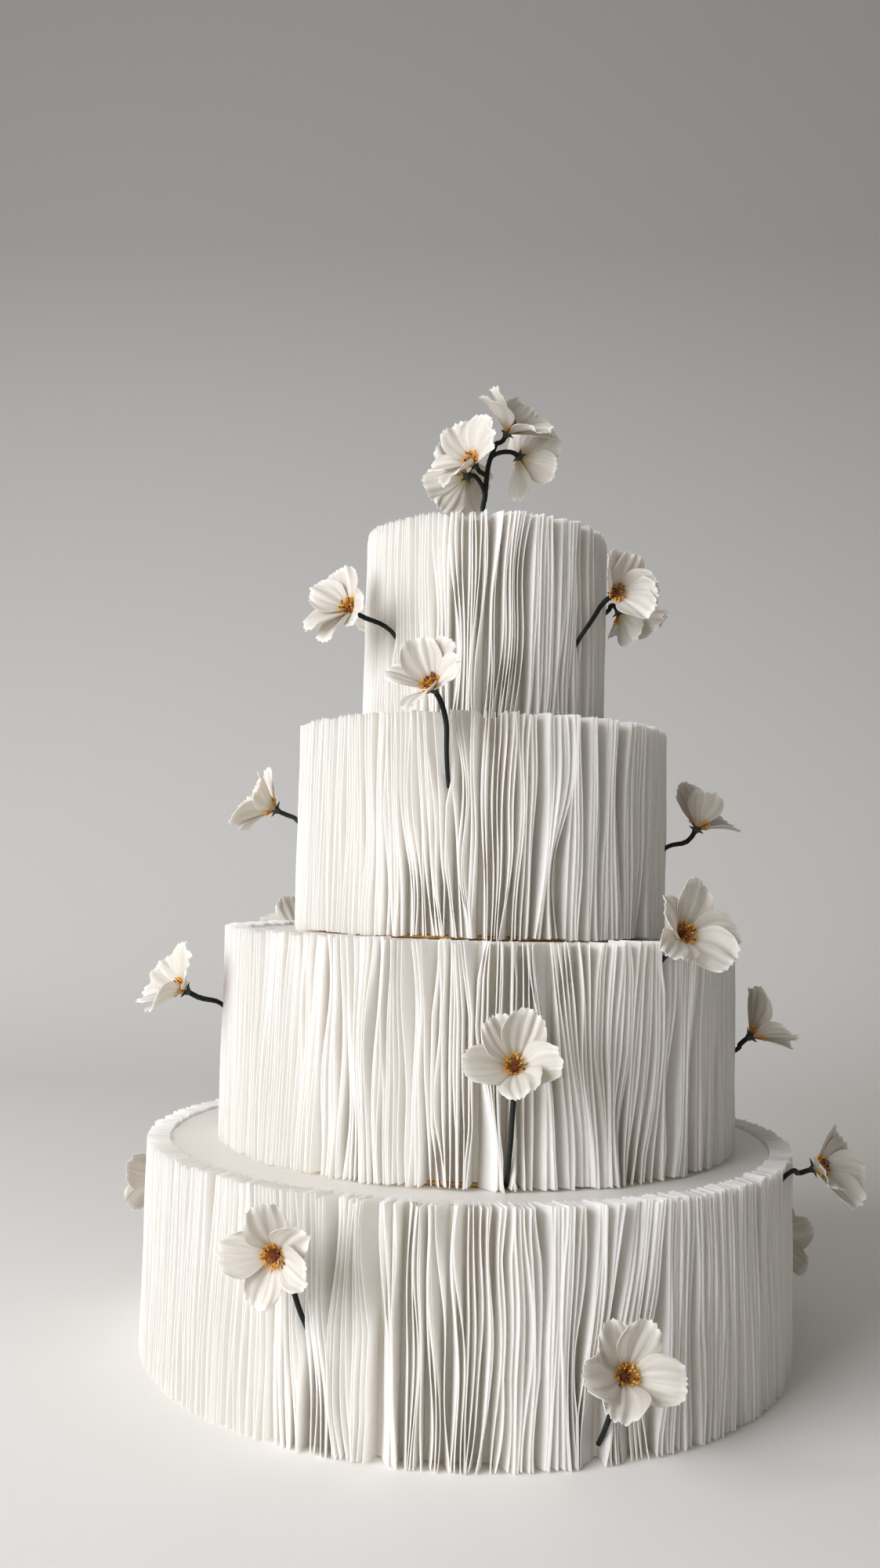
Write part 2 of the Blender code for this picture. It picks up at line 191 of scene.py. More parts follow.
# The tiers: round butter cakes under smooth ivory sugar icing, pressed on with a flat scraper and
# left with a softly rounded upper edge. Stacked from the bottom, each a touch to the right of the
# one that carries the rest.
TIERS = (4, 3, 2, 1)
CORE_RADIUS = {1: 62.2 * MM, 2: 100.1 * MM, 3: 141.5 * MM, 4: 177.8 * MM}
BOTTOM_HEIGHT = 117.0 * MM
TIER_RISE = 120.9 * MM
TIER_SHIFT = 4.0 * MM
ICING_EDGE = 1.5 * MM
ICING_SIDES = 144
ICING_EDGE_STEPS = 5
ICING_CLOUD = 28.57 * MM
SCRAPER_DRAG = 35.71 * MM


def core_top(tier):
    """Height of the icing on top of a tier."""
    return BOTTOM_HEIGHT + (4 - tier) * TIER_RISE


def ledge(tier):
    """Height of the surface that a tier stands on."""
    return 0.0 if tier == 4 else core_top(tier + 1)


def axis_x(tier):
    """The bottom tier stands on the origin, the others a little to the right."""
    return 0.0 if tier == 4 else TIER_SHIFT


def lathe(name, tier, outline, sides):
    """Turns an outline of (radius, height) round a tier's axis, top to bottom, capped."""
    points = []
    for radius, height in outline:
        for side in range(sides):
            turn = math.tau * side / sides
            points.append((axis_x(tier) + radius * math.sin(turn), -radius * math.cos(turn), height))
    faces = []
    for ring in range(len(outline) - 1):
        for side in range(sides):
            after = (side + 1) % sides
            faces.append((ring * sides + side, (ring + 1) * sides + side,
                          (ring + 1) * sides + after, ring * sides + after))
    faces.append(list(range(sides)))
    last = (len(outline) - 1) * sides
    faces.append([last + side for side in reversed(range(sides))])
    return mesh_piece(name, points, faces)


# Sugar icing: soft ivory with a satin skin, faintly cloudy in tone and gloss, with level drag marks
# where the scraper passed.
icing, tree, out = new_material("smooth_sugar_icing")
place = add_node(tree, "ShaderNodeTexCoord")
cloud = add_node(tree, "ShaderNodeTexNoise", Vector=(place, "Object"), Scale=1.0 / ICING_CLOUD, Detail=3.0,
                 Roughness=0.55)
scraper = add_node(tree, "ShaderNodeMapping", Vector=(place, "Object"), Scale=(1.0, 1.0, 9.0))
scraped = add_node(tree, "ShaderNodeTexNoise", Vector=(scraper, "Vector"), Scale=1.0 / SCRAPER_DRAG,
                   Detail=2.0)
tone = add_node(tree, "ShaderNodeMix", data_type="RGBA", in0=(cloud, "Fac"),
                in6=linear("#E6E1D8"), in7=linear("#ECE8E0"))
gloss = add_node(tree, "ShaderNodeMapRange", Value=(cloud, "Fac"), To_Min=0.42, To_Max=0.6)
bump = add_node(tree, "ShaderNodeBump", Strength=0.25, Distance=0.4 * MM, Height=(scraped, "Fac"))
shader = add_node(tree, "ShaderNodeBsdfPrincipled", Base_Color=(tone, 2), Roughness=(gloss, "Result"),
                  Normal=(bump, "Normal"), IOR=1.45)
tree.links.new(shader.outputs[0], out.inputs[0])

for tier in TIERS:
    low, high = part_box(f"tier_{tier}_cake")
    radius = CORE_RADIUS[tier]
    outline = [(radius * share, high.z) for share in (0.25, 0.6, 0.9)]
    for step in range(ICING_EDGE_STEPS + 1):
        angle = math.pi / 2 * step / ICING_EDGE_STEPS
        outline.append((radius - ICING_EDGE + ICING_EDGE * math.sin(angle),
                        high.z - ICING_EDGE + ICING_EDGE * math.cos(angle)))
    outline += [(radius, high.z - share * (high.z - low.z)) for share in (0.25, 0.5, 0.75)]
    outline.append((radius, low.z))
    body = lathe(f"iced_tier_{tier}", tier, outline, ICING_SIDES)
    body.data.materials.append(icing)
    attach(body, "root")
    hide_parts(f"tier_{tier}_cake")

# The boards under the three upper tiers: thin round card faced with gold foil, cut to the cake's
# own size, so only its edge shows, under and between the sheets.
BOARD_EDGE = 0.3 * MM
FOIL_CRINKLE = 3.846 * MM

# Gold foil on card: a warm yellow metal, dulled by its paper backing. Its crinkles are finer than
# 1 mm, and are drawn coarser so that they show.
gold, tree, out = new_material("gold_foil_card")
place = add_node(tree, "ShaderNodeTexCoord")
crinkle = add_node(tree, "ShaderNodeTexNoise", Vector=(place, "Object"), Scale=1.0 / FOIL_CRINKLE,
                   Detail=3.0)
tone = add_node(tree, "ShaderNodeMix", data_type="RGBA", in0=(crinkle, "Fac"),
                in6=linear("#B07A38"), in7=linear("#D9A45A"))
bump = add_node(tree, "ShaderNodeBump", Strength=0.3, Distance=0.2 * MM, Height=(crinkle, "Fac"))
shader = add_node(tree, "ShaderNodeBsdfPrincipled", Base_Color=(tone, 2), Roughness=0.38, Metallic=0.7,
                  Normal=(bump, "Normal"))
tree.links.new(shader.outputs[0], out.inputs[0])

for tier in TIERS[1:]:
    low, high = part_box(f"tier_{tier}_card")
    radius = CORE_RADIUS[tier]
    outline = [(radius - BOARD_EDGE, high.z), (radius, high.z - BOARD_EDGE),
               (radius, low.z + BOARD_EDGE), (radius - BOARD_EDGE, low.z)]
    board = lathe(f"board_{tier}", tier, outline, ICING_SIDES)
    board.data.materials.append(gold)
    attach(board, "root")
    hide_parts(f"tier_{tier}_card")

# The flowers' places, which the sheets make room for: the same rows as in the solid model. Angles in
# degrees round the tier, heights in mm over its underside, out in mm off the sheets. Each petal has
# a direction, clockwise from the top as seen from the flower's front, and an opening in degrees.
PETALS = 5


def even(opening, turn):
    """Petals spaced evenly, the first turned from the top."""
    return tuple((turn + 360.0 / PETALS * index, opening) for index in range(PETALS))


# name: tier, angle, height, out, face, lift, petals, size, foot angle, foot height
SIDE_FLOWERS = {
    "e": (1, 59.1, 81.7, 13, 22, 6, ((-32, 46), (12, 42), (80, 36), (112, 42), (144, 44)), 1.0, 47, 48),
    "f": (1, 82.5, 77.5, 8, 126, -42, ((-84, 54), (-132, 66), (-36, 50), (18, 46), (72, 46)), 1.0, 81, 74),
    "g": (1, -57.7, 68.8, 18, -38, 18,
          ((-64, 54), (-28, 72), (-136, 50), (-168, 68), (116, 58)), 1.04, -47, 51),
    "h": (2, -12.5, 133, 14, -33, 38, ((-26, 44), (18, 56), (92, 56), (172, 60), (-96, 52)), 0.95, -10, 86),
    "i": (2, -94, 74, 17, -80, 24, ((-32, 54), (64, 50), (-92, 46), (160, 42), (-128, 66)), 1.0, -88, 61),
    "j": (2, 87.9, 67.3, 19, 118, 54, ((80, 50), (-48, 58), (164, 42), (-164, 58), (20, 52)), 1.0, 78, 49),
    "k": (3, -131, 114, 12, -150, 15, even(62, 20), 1.0, -133, 96),
    "l": (3, 37.7, 127.5, 13, 24, 18,
          ((16, 62), (98, 64), (134, 62), (-128, 50), (-56, 50)), 1.02, 39, 112),
    "m": (3, -70.6, 87, 23, -60, 30, ((20, 48), (-72, 60), (-124, 54), (152, 54), (56, 60)), 1.0, -75, 72),
    "n": (3, 81.9, 65.6, 9, 97, 36, ((-4, 50), (24, 44), (70, 44), (-112, 46), (166, 48)), 1.0, 82, 53),
    "o": (3, 6, 63.5, 18, 0, 24, ((-32, 64), (12, 64), (90, 48), (172, 42), (-96, 60)), 0.97, 6, 6),
    "p": (4, -107, 70, 17, -116, 12, even(60, 0), 1.0, -108, 58),
    "q": (4, 76.5, 111.8, 12, 54, 24,
          ((58, 60), (82, 60), (120, 60), (-176, 56), (-112, 56)), 1.04, 65, 109),
    "r": (4, 105, 46, 11, 131, -12, even(56, 15), 1.0, 104, 53),
    "s": (4, -25, 95, 17, -6, 3, ((-16, 68), (50, 56), (112, 48), (-160, 74), (-90, 72)), 0.9, -24, 58),
    "t": (4, 20.6, 47.5, 17, 7, 21, ((-20, 64), (28, 66), (98, 60), (-154, 42), (-90, 50)), 0.96, 20.5, 12),
    "u": (1, -136, 84, 11, -160, 12, even(64, 10), 0.97, -137, 70),
    "v": (4, 165, 78, 15, 168, 15, even(62, 25), 1.0, 164, 52),
    "w": (2, 150, 60, 15, 154, 18, even(60, 35), 1.0, 148, 38),
}

# The collars: hundreds of thin wafer paper sheets round each tier, each stuck to the icing by one
# long edge and standing straight out. They lean, bend, cling to their neighbours and part again,
# and stand a little proud of the icing.
SHEETS = {1: 190, 2: 290, 3: 390, 4: 484}
SHEET_DEPTH = 13.2 * MM
SHEET_PROUD = 3.0 * MM
SHEET_THICKNESS = 0.45 * MM
SHEET_CONTACT = 0.52 * MM
SHEET_LEVELS = 26
SHEET_SHARES = (0.0, 0.5, 1.0)
SWAY_WAVES = ((190.0, 1.9), (105.0, 1.5), (62.0, 1.1), (38.0, 0.7))
LEAN_WAVES = ((240.0, 8.0), (120.0, 5.0), (70.0, 2.5))
GROUP_SIZES = (1, 2, 3, 3, 4, 5, 7, 9)
STEM_ROOM = 2.8 * MM
STEM_REACH = 30.0 * MM
ROOM_BELOW = 14.0 * MM
ROOM_ABOVE = 52.0 * MM
ROOM_CLOSING = 34.0 * MM
SETTLING_ROUNDS = 90
SHEET_SEED = 40
SHEET_ROOT = 0.1 * MM
SPACING_VARIETY = 0.25
BEND_DEPTH_MOST = 4.0 * MM
BEND_TO_EDGE = 1.35
BOARD_CLEAR = 0.3 * MM
PAPER_TOOTH = 2.381 * MM
PAPER_CLOUD = 33.33 * MM

# How far sheets stray, in mm: a group by its shift, lean, long bend and short bend, and each sheet
# by its shift, wave, foot and head. Then how their sizes differ, in mm: the depth, the waves of the
# outer edge, the feet, and the heads, in steps that neighbours share and each by itself.
GROUP_STRAYS = (0.8, 0.8, 0.9, 0.6)
SHEET_STRAYS = (0.35, 0.45, 1.3, 0.7)
DEPTH_VARIETY = 1.2
EDGE_WAVES = 0.25
FOOT_VARIETY = 1.1
FOOT_STEPS = 1.25
HEAD_STEPS = 1.2
HEAD_VARIETY = 1.3

# The sheets stand straighter and more evenly towards both sides: middle and half width of each calm
# stretch in degrees, and how calm it is.
CALM_STRETCHES = ((-68.0, 55.0, 0.72), (70.0, 45.0, 0.45))


def sheet_lines(tier, draw, pitch, outer):
    """Where the sheets' outer edges run: arc length at each level, by sheet."""
    count = SHEETS[tier]
    stray = draw.uniform(-SPACING_VARIETY, SPACING_VARIETY, count)
    base = (np.arange(count) + 0.5 + stray) * pitch
    level = np.linspace(0.0, 1.0, SHEET_LEVELS + 1)
    lines = np.repeat(base[:, None], SHEET_LEVELS + 1, axis=1)
    unrest = np.ones(count)
    for middle, half_width, calm in CALM_STRETCHES:
        off = (np.degrees(base / outer) - middle + 180.0) % 360.0 - 180.0
        unrest -= calm * np.cos(np.clip(off / half_width, -1.0, 1.0) * math.pi / 2) ** 0.7
    for wave, size in LEAN_WAVES:
        turns = max(1, round(count * pitch / (wave * MM)))
        lean = unrest * size * MM * np.sin(base / outer * turns + draw.uniform(0, math.tau))
        lines += lean[:, None] * (level[None, :] - 0.5)
    for wave, size in SWAY_WAVES:
        turns = max(1, round(count * pitch / (wave * MM)))
        sway = 0.9 * np.sin(math.pi * level * draw.uniform(0.6, 1.8) + draw.uniform(0, math.tau))
        phase = base[:, None] / outer * turns + draw.uniform(0, math.tau) + sway[None, :]
        lines += unrest[:, None] * size * MM * np.sin(phase)
    shift, slant, long_bend, short_bend = GROUP_STRAYS
    first = 0
    while first < count:
        last = min(count, first + int(draw.choice(GROUP_SIZES)))
        bend = draw.normal(0.0, shift) + draw.normal(0.0, slant) * (2 * level - 1)
        bend += draw.normal(0.0, long_bend) * np.sin(math.tau * 0.7 * level + draw.uniform(0, math.tau))
        bend += draw.normal(0.0, short_bend) * np.sin(math.tau * 1.4 * level + draw.uniform(0, math.tau))
        lines[first:last] += unrest[first] * bend[None, :] * MM
        middle = lines[first:last].mean(axis=0)
        cling = draw.uniform(0.0, 0.55) + draw.uniform(0.1, 0.45) * np.sin(
            math.tau * draw.uniform(0.4, 1.1) * level + draw.uniform(0, math.tau))
        cling = unrest[first] * np.clip(cling, 0.0, 0.85)
        lines[first:last] = middle + (lines[first:last] - middle) * (1.0 - cling)
        first = last
    shift, wave, foot, head = SHEET_STRAYS
    own = draw.normal(0.0, shift, (count, 1)) + draw.normal(0.0, wave, (count, 1)) * np.sin(
        math.tau * draw.uniform(0.5, 1.6, (count, 1)) * level + draw.uniform(0, math.tau, (count, 1)))
    own += draw.normal(0.0, foot, (count, 1)) * (1.0 - level) ** 5
    own += draw.normal(0.0, head, (count, 1)) * level ** 7
    lines += own * (0.4 + 0.6 * unrest[:, None]) * MM
    around = count * pitch
    rooms = []
    height = level * (core_top(tier) + SHEET_PROUD - ledge(tier))
    for on_tier, *_, foot_angle, foot_height in SIDE_FLOWERS.values():
        if on_tier == tier:
            opens = np.clip((height - foot_height * MM + ROOM_BELOW) / ROOM_BELOW, 0.0, 1.0)
            closes = np.clip((foot_height * MM + ROOM_ABOVE - height) / ROOM_CLOSING, 0.0, 1.0)
            spot = math.radians(foot_angle % 360) * outer
            side = np.where(np.abs(base - spot) < STEM_REACH, np.sign(base - spot), 0.0)[:, None]
            rooms.append((side, spot + side * STEM_ROOM * opens * closes))
    for _ in range(SETTLING_ROUNDS):
        space = np.diff(np.vstack([lines, lines[:1] + around]), axis=0)
        short = np.clip(SHEET_CONTACT - space, 0.0, None) / 2
        lines = lines - short + np.roll(short, 1, axis=0)
        for side, edge in rooms:
            lines = np.where(side > 0, np.maximum(lines, edge), lines)
            lines = np.where(side < 0, np.minimum(lines, edge), lines)
    return base, lines


def sheet_mesh(tier):
    """All the sheets of one tier as thin closed solids."""
    draw = np.random.default_rng(SHEET_SEED + tier)
    count = SHEETS[tier]
    outer = CORE_RADIUS[tier] + SHEET_DEPTH
    inner = CORE_RADIUS[tier] + SHEET_ROOT
    pitch = math.tau * outer / count
    base, lines = sheet_lines(tier, draw, pitch, outer)
    shares = np.array(SHEET_SHARES)
    level = np.linspace(0.0, 1.0, SHEET_LEVELS + 1)
    lean = lines - base[:, None]
    depth = outer - inner - draw.uniform(0.0, DEPTH_VARIETY, (count, 1)) * MM
    waves = math.tau * level * draw.uniform(0.6, 1.6, (count, 1)) + draw.uniform(0, math.tau, (count, 1))
    depth = depth + EDGE_WAVES * MM * (np.sin(waves) - 1.0)
    depth = depth - np.minimum(lean ** 2 / (2 * depth), BEND_DEPTH_MOST)
    reach = inner + shares[None, None, :] * depth[:, :, None]
    turn = (base[:, None, None] + lean[:, :, None] * shares[None, None, :] ** BEND_TO_EDGE) / outer
    bottom = ledge(tier) + draw.uniform(0.0, FOOT_VARIETY, (count, 1, 1)) * MM
    steps = np.repeat(draw.uniform(0.0, HEAD_STEPS, count), draw.integers(1, 6, count))[:count]
    heads = steps[:, None, None] + draw.uniform(0.0, HEAD_VARIETY, (count, 1, 1)) ** 1.6
    top = core_top(tier) + SHEET_PROUD - heads * MM
    if tier < 4:
        lifts = np.repeat(draw.uniform(0.0, FOOT_STEPS, count), draw.integers(2, 10, count))[:count]
        bottom = bottom + BOARD_CLEAR + lifts[:, None, None] * MM
    rise = bottom + (top - bottom) * level[None, :, None] + 0 * turn
    middle = np.stack([axis_x(tier) + reach * np.sin(turn), -reach * np.cos(turn), rise], axis=-1)
    along = np.gradient(middle, axis=2)
    up = np.gradient(middle, axis=1)
    normal = np.cross(up, along)
    normal /= np.linalg.norm(normal, axis=-1, keepdims=True)
    both = np.stack([middle + normal * SHEET_THICKNESS / 2, middle - normal * SHEET_THICKNESS / 2], axis=1)
    points = both.reshape(-1, 3)
    rows, columns = SHEET_LEVELS + 1, len(SHEET_SHARES)
    index = np.arange(2 * rows * columns).reshape(2, rows, columns)
    quads = []
    for side in (0, 1):
        grid = index[side]
        corners = [grid[:-1, :-1], grid[:-1, 1:], grid[1:, 1:], grid[1:, :-1]]
        quad = np.stack(corners, axis=-1).reshape(-1, 4)
        quads.append(quad if side else quad[:, ::-1])
    rim = np.concatenate([index[0][0, :], index[0][1:, -1], index[0][-1, -2::-1], index[0][-2:0:-1, 0]])
    back = rim + rows * columns
    quads.append(np.stack([rim, np.roll(rim, -1), np.roll(back, -1), back], axis=-1))
    quads = np.concatenate(quads)
    faces = (quads[None, :, :] + (np.arange(count) * 2 * rows * columns)[:, None, None]).reshape(-1, 4)
    return points, faces


# Wafer paper: white, dry and matt, and thin enough that light glows through it, so that the gaps
# between the sheets stay soft. Its tooth of about 0.2 mm is drawn coarser so that it shows.
paper, tree, out = new_material("white_wafer_paper")
place = add_node(tree, "ShaderNodeTexCoord")
fibres = add_node(tree, "ShaderNodeTexNoise", Vector=(place, "Object"), Scale=1.0 / PAPER_TOOTH, Detail=4.0,
                  Roughness=0.6)
patches = add_node(tree, "ShaderNodeTexNoise", Vector=(place, "Object"), Scale=1.0 / PAPER_CLOUD,
                   Detail=2.0)
tone = add_node(tree, "ShaderNodeMix", data_type="RGBA", in0=(patches, "Fac"),
                in6=linear("#FAF9F6"), in7=linear("#FCFAF8"))
tooth = add_node(tree, "ShaderNodeMapRange", Value=(fibres, "Fac"), To_Min=0.55, To_Max=0.75)
bump = add_node(tree, "ShaderNodeBump", Strength=0.15, Distance=0.1 * MM, Height=(fibres, "Fac"))
face = add_node(tree, "ShaderNodeBsdfPrincipled", Base_Color=(tone, 2), Roughness=(tooth, "Result"),
                Normal=(bump, "Normal"), IOR=1.4)
glow = add_node(tree, "ShaderNodeBsdfTranslucent", Color=(tone, 2))
sheet_shader = add_node(tree, "ShaderNodeMixShader", in0=0.66, in1=(face, 0), in2=(glow, 0))
tree.links.new(sheet_shader.outputs[0], out.inputs[0])

for tier in TIERS:
    points, faces = sheet_mesh(tier)
    collar = mesh_piece(f"wafer_sheets_{tier}", points, faces, sharp=50.0)
    collar.data.materials.append(paper)
    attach(collar, "root")
    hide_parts(f"tier_{tier}_strips")

# The flowers: five broad fan petals cut from cream wafer paper, each pleated along its veins from a
# narrow claw to a ruffled rim, wired round a tuft of orange sugar stamens with a dark taped calyx
# and a few pointed sepals behind.
# name: spot in mm from the middle of the cake's top, face, lift, petals, size, joint of the wire
TOP_FLOWERS = {
    "a": ((-9.0, -39.0, 40.5), -36, 30, ((-34, 46), (22, 54), (85, 56), (-172, 60), (-112, 64)), 1.0, 3),
    "b": ((11.0, -32.0, 62.5), 48, 50, ((-36, 48), (58, 44), (120, 64), (180, 62), (-84, 66)), 1.03, 5),
    "c": ((19.0, -21.0, 51.0), 146, -5, ((18, 60), (166, 72), (-115, 72), (-66, 70), (-22, 64)), 0.97, 4),
    "d": ((-13.5, -24.0, 37.0), -150, 5, ((30, 64), (112, 68), (152, 72), (-142, 62), (-80, 64)), 0.97, 2),
}
PETAL_LENGTH = 27.0 * MM
PETAL_WIDTH = 22.5 * MM
PETAL_THICKNESS = 0.36 * MM
PETAL_ROWS = 12
PETAL_COLUMNS = 30
PETAL_CUP = 0.28
PETAL_BEND = math.radians(24.0)
PETAL_TWIST = math.radians(15.0)
PETAL_FULL_AT = 0.75
PETAL_SWELL = 1.3
CLAW_SHARE = 0.12
TIP_ROUNDING = 0.15
CLAW_RADIUS = 1.9 * MM
SIZE_VARIETY = 0.06
ANGLE_VARIETY = 4.0
SCALLOPS = 3.6
PLEAT_HEIGHT = 0.36 * MM
RUFFLE_HEIGHT = 1.1 * MM
CRINKLE_HEIGHT = 0.35 * MM
RIM_CURL = (0.2 * MM, 1.6 * MM)
VEIN_SPACING = 22.5 / 13 * MM
VEIN_LENGTH = 30.0 * MM
SUGAR_GRAIN = 1.111 * MM

# The rim's shape as shares of the petal's length: its scallops' depth, how far they stand out, the
# fine frill, the slow wave and the rounding of its corners. Then how far its width draws in.
NOTCH_DEPTH = 0.045
NOTCH_OUT = 0.03
FRILL_DEPTH = 0.018
RIM_WAVE = 0.02
CORNER_ROUNDING = 0.13
RIM_DRAW_IN = 0.1

# Radii and heights in mm: the button, a stalk, an anther, the calyx and a sepal; stalks lean out
# from 8 degrees in the middle to 54 degrees at the edge of the tuft.
STAMENS = 64
BUTTON = ((1.4, -0.4), (2.4, 0.3), (2.6, 1.2), (1.9, 2.3), (0.8, 3.0))
ANTHER = ((0.1, -1.0), (0.48, -0.3), (0.45, 0.4), (0.1, 1.0))
STALK_RADII = (0.24, 0.17)
STALK_LENGTH = 7.2
STALK_SHORTER = 2.0
TUFT_RADIUS = 1.7
TILT_LEAST = 8.0
TILT_MORE = 46.0
GOLDEN_TURN = 2.39996
CALYX = ((1.2, 1.2), (2.3, 0.5), (2.6, -0.8), (2.2, -2.2), (1.6, -3.3))
SEPAL_RADII = (0.75, 0.7, 0.12)
SEPAL_LENGTHS = (2.8, 4.4)


def facing(degrees, lift):
    """The direction of an angle round the cake, lifted above level."""
    angle = math.radians(degrees)
    rise = math.radians(lift)
    return Vector((math.sin(angle) * math.cos(rise), -math.cos(angle) * math.cos(rise), math.sin(rise)))


def around(tier, degrees, radius, height):
    """A point at an angle round a tier's axis, at a height over its underside."""
    angle = math.radians(degrees)
    return Vector((axis_x(tier) + radius * math.sin(angle), -radius * math.cos(angle),
                   ledge(tier) + height))


class Build:
    """Points and faces of one piece, with a material number and vein coordinates for each."""

    def __init__(self):
        self.points = []
        self.faces = []
        self.kinds = []
        self.veins = []

    def grid(self, grid, kind, veins=None, closed=False):
        """Adds a sheet of points as rows of quads."""
        rows, columns = len(grid), len(grid[0])
        start = len(self.points)
        for r, row in enumerate(grid):
            for c, point in enumerate(row):
                self.points.append(tuple(point))
                self.veins.append(veins[r][c] if veins is not None else (0.0, 0.0))
        for r in range(rows - 1):
            for c in range(columns if closed else columns - 1):
                after = (c + 1) % columns
                self.faces.append((start + r * columns + c, start + r * columns + after,
                                   start + (r + 1) * columns + after, start + (r + 1) * columns + c))
                self.kinds.append(kind)
        return start

    def face(self, corners, kind):
        """Adds one face of points that are already there."""
        self.faces.append(tuple(corners))
        self.kinds.append(kind)

    def turned(self, root, axis, outline, sides, kind):
        """Adds a turned form along an axis, closed at both ends, from its lower end up."""
        frame_of = axis.to_track_quat("Z", "Y").to_matrix()
        rings = []
        for radius, height in outline:
            rings.append([root + frame_of @ Vector((radius * math.cos(math.tau * k / sides),
                                                    radius * math.sin(math.tau * k / sides), height))
                          for k in range(sides)])
        start = self.grid(rings, kind, closed=True)
        last = start + (len(outline) - 1) * sides
        self.face([start + k for k in reversed(range(sides))], kind)
        self.face([last + k for k in range(sides)], kind)

    def piece(self, name, materials):
        """Makes the object, with the vein coordinates as its UV map."""
        made = mesh_piece(name, self.points, self.faces, sharp=50.0)
        for look in materials:
            made.data.materials.append(look)
        made.data.polygons.foreach_set("material_index", self.kinds)
        layer = made.data.uv_layers.new(name="veins")
        corners = np.empty(len(made.data.loops), dtype=np.int32)
        made.data.loops.foreach_get("vertex_index", corners)
        layer.data.foreach_set("uv", np.array(self.veins, dtype=np.float32)[corners].ravel())
        return made


def petal(build, root, axis, spread, length, width, opening, draw):
    """One thin petal, pleated along its veins and ruffled at the rim."""
    axis_v, spread_v = np.array(axis), np.array(spread)
    side_v = np.array(axis.cross(spread))
    row = np.linspace(0.0, 1.0, PETAL_ROWS + 1)[:, None]
    column = np.linspace(-1.0, 1.0, PETAL_COLUMNS + 1)[None, :]
    first_angle = opening - PETAL_BEND / 2
    bend = PETAL_BEND / length
    swell = np.sin(np.minimum(1.0, row / PETAL_FULL_AT) * math.pi / 2) ** PETAL_SWELL
    half_width = width / 2 * (CLAW_SHARE + (1.0 - CLAW_SHARE) * swell)
    half_width = half_width * (1.0 - RIM_DRAW_IN * row ** 8)
    scallop = np.cos(math.pi * SCALLOPS * draw.uniform(0.85, 1.15) * (
        column + 0.06 * np.sin(draw.uniform(2.0, 5.0) * column + draw.uniform(0, math.tau)))
        + draw.uniform(0, math.tau))
    frill = np.array([draw.uniform(-1.0, 1.0) for _ in range(PETAL_COLUMNS + 1)])[None, :]
    notch = NOTCH_DEPTH * np.abs(scallop) - NOTCH_OUT + FRILL_DEPTH * frill
    notch = notch + RIM_WAVE * np.sin(draw.uniform(2.0, 3.5) * column + draw.uniform(0, math.tau))
    rounding = TIP_ROUNDING * column ** 2 + CORNER_ROUNDING * column ** 8
    along = row * length * (1.0 - rounding + notch * row ** 6)
    angle = first_angle + bend * along
    rise = (np.sin(angle) - np.sin(first_angle)) / bend
    reach = (np.cos(first_angle) - np.cos(angle)) / bend + CLAW_RADIUS
    inward = axis_v * np.sin(angle)[..., None] - spread_v * np.cos(angle)[..., None]
    across = side_v * math.cos(PETAL_TWIST) + inward * math.sin(PETAL_TWIST)
    pleat = PLEAT_HEIGHT * scallop * np.clip(row * 1.6, 0.0, 1.0)
    ruffle = RUFFLE_HEIGHT * row ** 2.5 * (
        np.sin(draw.uniform(2.6, 4.6) * column + draw.uniform(0, math.tau))
        + 0.5 * np.sin(draw.uniform(6.0, 9.0) * column + draw.uniform(0, math.tau)))
    crinkle = CRINKLE_HEIGHT * row ** 6 * np.sin(
        draw.uniform(13.0, 18.0) * column + draw.uniform(0, math.tau))
    curl = -draw.uniform(*RIM_CURL) * row ** 4
    hollow = PETAL_CUP * half_width * column ** 2
    middle = (np.array(root) + axis_v * rise[..., None] + spread_v * reach[..., None]
              + across * (column * half_width)[..., None]
              + inward * (hollow + pleat + ruffle + crinkle + curl)[..., None])
    normal = np.cross(np.gradient(middle, axis=0), np.gradient(middle, axis=1))
    normal /= np.linalg.norm(normal, axis=-1, keepdims=True)
    pattern = 5.0 * draw.randint(0, 40)
    veins = [[(pattern + float(c), float(r)) for c in column[0]] for r in row[:, 0]]
    thick = PETAL_THICKNESS / 2
    front = build.grid(middle - normal * thick, 0, veins)
    back = build.grid((middle + normal * thick)[:, ::-1], 0, [line[::-1] for line in veins])
    wide = PETAL_COLUMNS + 1
    rim = [(0, c) for c in range(wide)] + [(r, PETAL_COLUMNS) for r in range(1, PETAL_ROWS + 1)]
    rim += [(PETAL_ROWS, c) for c in range(PETAL_COLUMNS - 1, -1, -1)]
    rim += [(r, 0) for r in range(PETAL_ROWS - 1, 0, -1)]
    for (r0, c0), (r1, c1) in zip(rim, rim[1:] + rim[:1]):
        build.face((front + r1 * wide + c1, front + r0 * wide + c0,
                    back + r0 * wide + PETAL_COLUMNS - c0, back + r1 * wide + PETAL_COLUMNS - c1), 0)


